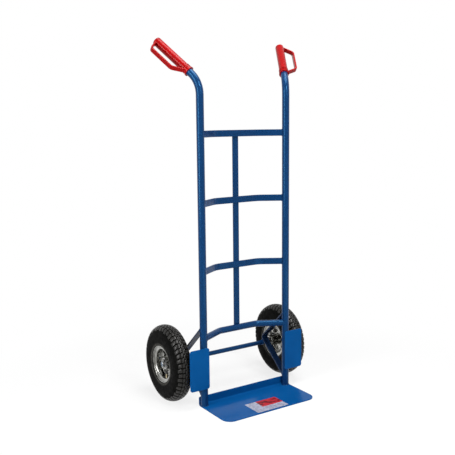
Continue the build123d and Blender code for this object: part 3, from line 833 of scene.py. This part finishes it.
camera_place = Vector((-1.32724, -1.92593, 0.94021))
camera_azimuth = radians(-33.12)
camera_elevation = radians(8.58)
camera_roll = radians(-0.59)
camera_lens = 56.14
floor_reach = 8.0
shadow_near, shadow_far = 0.45, 1.1  # the floor's shadow fades out between these distances
seen_white = 0.8  # the share of plain white in the floor near the object
sky_strength = 0.02
softboxes = {
    # name: place, target, size and power in watts
    "side_softbox": ((-2.3, -0.35, 1.2), (0.0, 0.05, 0.6), (0.8, 1.8), 46),
    "key_softbox": ((0.05, -1.9, 2.15), (0.0, 0.0, 0.4), (0.5, 0.5), 24),
    "fill_softbox": ((0.1, -2.0, 1.5), (0.0, 0.0, 0.4), (0.6, 0.6), 5),
    "low_softbox": ((0.15, -1.1, 0.12), (0.0, 0.0, 0.1), (1.0, 0.2), 1),
    "top_softbox": ((0.2, -0.55, 2.8), (0.1, 0.0, 0.3), (1.6, 1.3), 62),
}


def make_camera():
    """The camera at the photograph's place and angle."""
    back = Vector((
        sin(camera_azimuth) * cos(camera_elevation),
        -cos(camera_azimuth) * cos(camera_elevation),
        sin(camera_elevation),
    ))
    level = Vector((cos(camera_azimuth), sin(camera_azimuth), 0))
    upright = back.cross(level)
    right = level * cos(camera_roll) + upright * sin(camera_roll)
    up = upright * cos(camera_roll) - level * sin(camera_roll)
    lens = bpy.data.cameras.new("camera")
    lens.lens = camera_lens
    lens.sensor_width = 36.0
    camera = bpy.data.objects.new("camera", lens)
    turn = Matrix((right, up, back)).transposed()
    camera.matrix_world = Matrix.Translation(camera_place) @ turn.to_4x4()
    bpy.context.scene.collection.objects.link(camera)
    bpy.context.scene.camera = camera


def make_lamp(name, place, target, size, power):
    """A soft rectangular lamp that faces the target."""
    light = bpy.data.lights.new(name, "AREA")
    light.shape = "RECTANGLE"
    light.size, light.size_y = size
    light.energy = power
    lamp = bpy.data.objects.new(name, light)
    lamp.location = place
    lamp.rotation_mode = "QUATERNION"
    lamp.rotation_quaternion = (Vector(target) - Vector(place)).to_track_quat("-Z", "Y")
    bpy.context.scene.collection.objects.link(lamp)


def shown_white(tree, shader, level):
    """Adds plain white to a shader wherever the camera or a reflection sees it.

    The level is a number or the output of a node.
    """
    path = tree.nodes.new("ShaderNodeLightPath")
    seen = tree.nodes.new("ShaderNodeMath")
    seen.operation = "MAXIMUM"
    tree.links.new(path.outputs["Is Camera Ray"], seen.inputs[0])
    tree.links.new(path.outputs["Is Glossy Ray"], seen.inputs[1])
    either = tree.nodes.new("ShaderNodeMath")
    either.operation = "MAXIMUM"
    tree.links.new(seen.outputs[0], either.inputs[0])
    tree.links.new(path.outputs["Is Transmission Ray"], either.inputs[1])
    share = tree.nodes.new("ShaderNodeMath")
    share.operation = "MULTIPLY"
    tree.links.new(either.outputs[0], share.inputs[0])
    if isinstance(level, bpy.types.NodeSocket):
        tree.links.new(level, share.inputs[1])
    else:
        share.inputs[1].default_value = level
    white = tree.nodes.new("ShaderNodeEmission")
    mixed = tree.nodes.new("ShaderNodeMixShader")
    tree.links.new(share.outputs[0], mixed.inputs[0])
    tree.links.new(shader, mixed.inputs[1])
    tree.links.new(white.outputs[0], mixed.inputs[2])
    return mixed.outputs[0]


def make_floor():
    """A plain pale floor that keeps a soft shadow."""
    mesh = bpy.data.meshes.new("floor")
    signs = ((-1, -1), (1, -1), (1, 1), (-1, 1))
    corners = [(x * floor_reach, y * floor_reach, 0.0) for x, y in signs]
    mesh.from_pydata(corners, [], [(0, 1, 2, 3)])
    pale = bpy.data.materials.new("pale_floor")
    pale.use_nodes = True
    tree = pale.node_tree
    shader = tree.nodes["Principled BSDF"]
    shader.inputs["Base Color"].default_value = (0.9, 0.9, 0.9, 1.0)
    shader.inputs["Roughness"].default_value = 0.9
    place = tree.nodes.new("ShaderNodeTexCoord")
    length = tree.nodes.new("ShaderNodeVectorMath")
    length.operation = "LENGTH"
    tree.links.new(place.outputs["Object"], length.inputs[0])
    fade = tree.nodes.new("ShaderNodeMapRange")
    fade.interpolation_type = "SMOOTHSTEP"
    ends = {"From Min": shadow_near, "From Max": shadow_far, "To Min": seen_white, "To Max": 1.0}
    for socket, value in ends.items():
        fade.inputs[socket].default_value = value
    tree.links.new(length.outputs["Value"], fade.inputs["Value"])
    output = tree.nodes["Material Output"]
    shown = shown_white(tree, shader.outputs[0], fade.outputs["Result"])
    tree.links.new(shown, output.inputs["Surface"])
    mesh.materials.append(pale)
    floor = bpy.data.objects.new("floor", mesh)
    bpy.context.scene.collection.objects.link(floor)


def make_world():
    """White where it is seen, and a plain soft grey as light."""
    world = bpy.data.worlds.new("studio")
    bpy.context.scene.world = world
    world.use_nodes = True
    tree = world.node_tree
    light = tree.nodes["Background"]
    light.inputs["Color"].default_value = (0.95, 0.97, 1.0, 1.0)
    light.inputs["Strength"].default_value = sky_strength
    lit = shown_white(tree, light.outputs[0], 1.0)
    tree.links.new(lit, tree.nodes["World Output"].inputs["Surface"])


make_camera()
make_floor()
make_world()
for name, setting in softboxes.items():
    make_lamp(name, *setting)
bpy.context.scene.view_settings.view_transform = "Standard"
